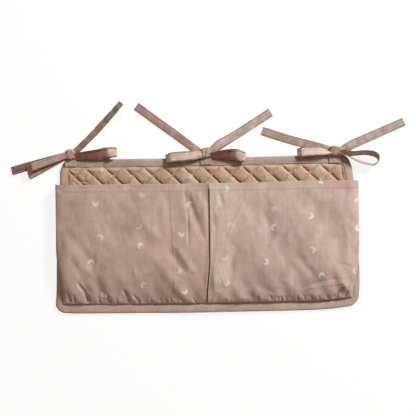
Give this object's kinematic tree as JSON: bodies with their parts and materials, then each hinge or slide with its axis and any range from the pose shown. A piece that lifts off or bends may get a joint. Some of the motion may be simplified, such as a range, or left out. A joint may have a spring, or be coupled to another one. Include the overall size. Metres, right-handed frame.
{
  "type": "crib organizer",
  "caption": "Quilted fabric crib organizer with two gathered pockets side by side and tied bows along its top edge.",
  "frame": {"origin": "middle of the back panel on its flat back face", "axes": "+X along the panel to the right, +Y towards the edge with the ties, +Z out of the front, so the part lies on its back"},
  "size_m": [0.7826, 0.4229, 0.0269],
  "materials": {
    "pocket": "matt printed cotton poplin with small off-white crescents",
    "quilt": "matt cotton, diamond quilted, same small crescents",
    "binding": "matt cotton binding tape, topstitched",
    "lining": "matt plain cotton",
    "wadding": "soft polyester wadding",
    "tie": "soft cotton tape with a slight sheen, stitched along its edges"
  },
  "bodies": {
    "panel": {"back_lining": "lining", "quilt_wadding": "wadding", "quilt_face": "quilt", "top_binding": "binding", "left_binding": "binding", "right_binding": "binding", "bottom_binding": "binding", "gusset_left_outer": "pocket", "gusset_left_inner": "pocket", "gusset_right_inner": "pocket", "gusset_right_outer": "pocket", "bow_left_anchor": "tie", "bow_left_knot": "tie", "bow_centre_anchor": "tie", "bow_centre_knot": "tie", "bow_right_anchor": "tie", "bow_right_knot": "tie"},
    "left_pocket": {"pocket_front_left": "pocket"},
    "right_pocket": {"pocket_front_right": "pocket"},
    "left_bow_left_loop": {"bow_left_loop_left": "tie"},
    "left_bow_right_loop": {"bow_left_loop_right": "tie"},
    "left_bow_left_tail": {"bow_left_tail_left": "tie"},
    "left_bow_right_tail": {"bow_left_tail_right": "tie"},
    "centre_bow_left_loop": {"bow_centre_loop_left": "tie"},
    "centre_bow_right_loop": {"bow_centre_loop_right": "tie"},
    "centre_bow_left_tail": {"bow_centre_tail_left": "tie"},
    "centre_bow_right_tail": {"bow_centre_tail_right": "tie"},
    "right_bow_left_loop": {"bow_right_loop_left": "tie"},
    "right_bow_right_loop": {"bow_right_loop_right": "tie"},
    "right_bow_left_tail": {"bow_right_tail_left": "tie"},
    "right_bow_right_tail": {"bow_right_tail_right": "tie"}
  },
  "joints": [
    {"name": "left_pocket_open", "type": "hinge", "parent": "panel", "child": "left_pocket", "pos_m": [0, -0.1345, 0.0079], "axis": [1, 0, 0], "range_deg": [0, 12], "deforming": ["gusset_left_outer", "gusset_left_inner"]},
    {"name": "right_pocket_open", "type": "hinge", "parent": "panel", "child": "right_pocket", "pos_m": [0, -0.1345, 0.0079], "axis": [1, 0, 0], "range_deg": [0, 12], "deforming": ["gusset_right_outer", "gusset_right_inner"]},
    {"name": "left_bow_left_loop_lift", "type": "hinge", "parent": "panel", "child": "left_bow_left_loop", "pos_m": [-0.27816, 0.1592, 0.0175], "axis": [-0.3939, 0.9191, 0], "range_deg": [0, 50]},
    {"name": "left_bow_right_loop_lift", "type": "hinge", "parent": "panel", "child": "left_bow_right_loop", "pos_m": [-0.25822, 0.16388, 0.0175], "axis": [0.0558, -0.9984, 0], "range_deg": [0, 50]},
    {"name": "left_bow_left_tail_swing", "type": "hinge", "parent": "panel", "child": "left_bow_left_tail", "pos_m": [-0.2686, 0.1633, 0.0046], "axis": [0, 0, 1], "range_deg": [-25, 3]},
    {"name": "left_bow_right_tail_swing", "type": "hinge", "parent": "panel", "child": "left_bow_right_tail", "pos_m": [-0.2686, 0.1633, 0.0046], "axis": [0, 0, 1], "range_deg": [-4, 30]},
    {"name": "centre_bow_left_loop_lift", "type": "hinge", "parent": "panel", "child": "centre_bow_left_loop", "pos_m": [-0.00951, 0.16196, 0.0175], "axis": [-0.1288, 0.9917, 0], "range_deg": [0, 50]},
    {"name": "centre_bow_right_loop_lift", "type": "hinge", "parent": "panel", "child": "centre_bow_right_loop", "pos_m": [0.01114, 0.16214, 0.0175], "axis": [-0.1115, -0.9938, 0], "range_deg": [0, 50]},
    {"name": "centre_bow_left_tail_swing", "type": "hinge", "parent": "panel", "child": "centre_bow_left_tail", "pos_m": [0.0008, 0.1633, 0.0046], "axis": [0, 0, 1], "range_deg": [-20, 8]},
    {"name": "centre_bow_right_tail_swing", "type": "hinge", "parent": "panel", "child": "centre_bow_right_tail", "pos_m": [0.0008, 0.1633, 0.0046], "axis": [0, 0, 1], "range_deg": [-3, 25]},
    {"name": "right_bow_left_loop_lift", "type": "hinge", "parent": "panel", "child": "right_bow_left_loop", "pos_m": [0.24581, 0.16277, 0.0175], "axis": [-0.0506, 0.9987, 0], "range_deg": [0, 50]},
    {"name": "right_bow_right_loop_lift", "type": "hinge", "parent": "panel", "child": "right_bow_right_loop", "pos_m": [0.26638, 0.16116, 0.0175], "axis": [-0.2062, -0.9785, 0], "range_deg": [0, 50]},
    {"name": "right_bow_left_tail_swing", "type": "hinge", "parent": "panel", "child": "right_bow_left_tail", "pos_m": [0.2562, 0.1633, 0.0046], "axis": [0, 0, 1], "range_deg": [0, 14]},
    {"name": "right_bow_right_tail_swing", "type": "hinge", "parent": "panel", "child": "right_bow_right_tail", "pos_m": [0.2562, 0.1633, 0.0046], "axis": [0, 0, 1], "range_deg": [0, 30]}
  ]
}
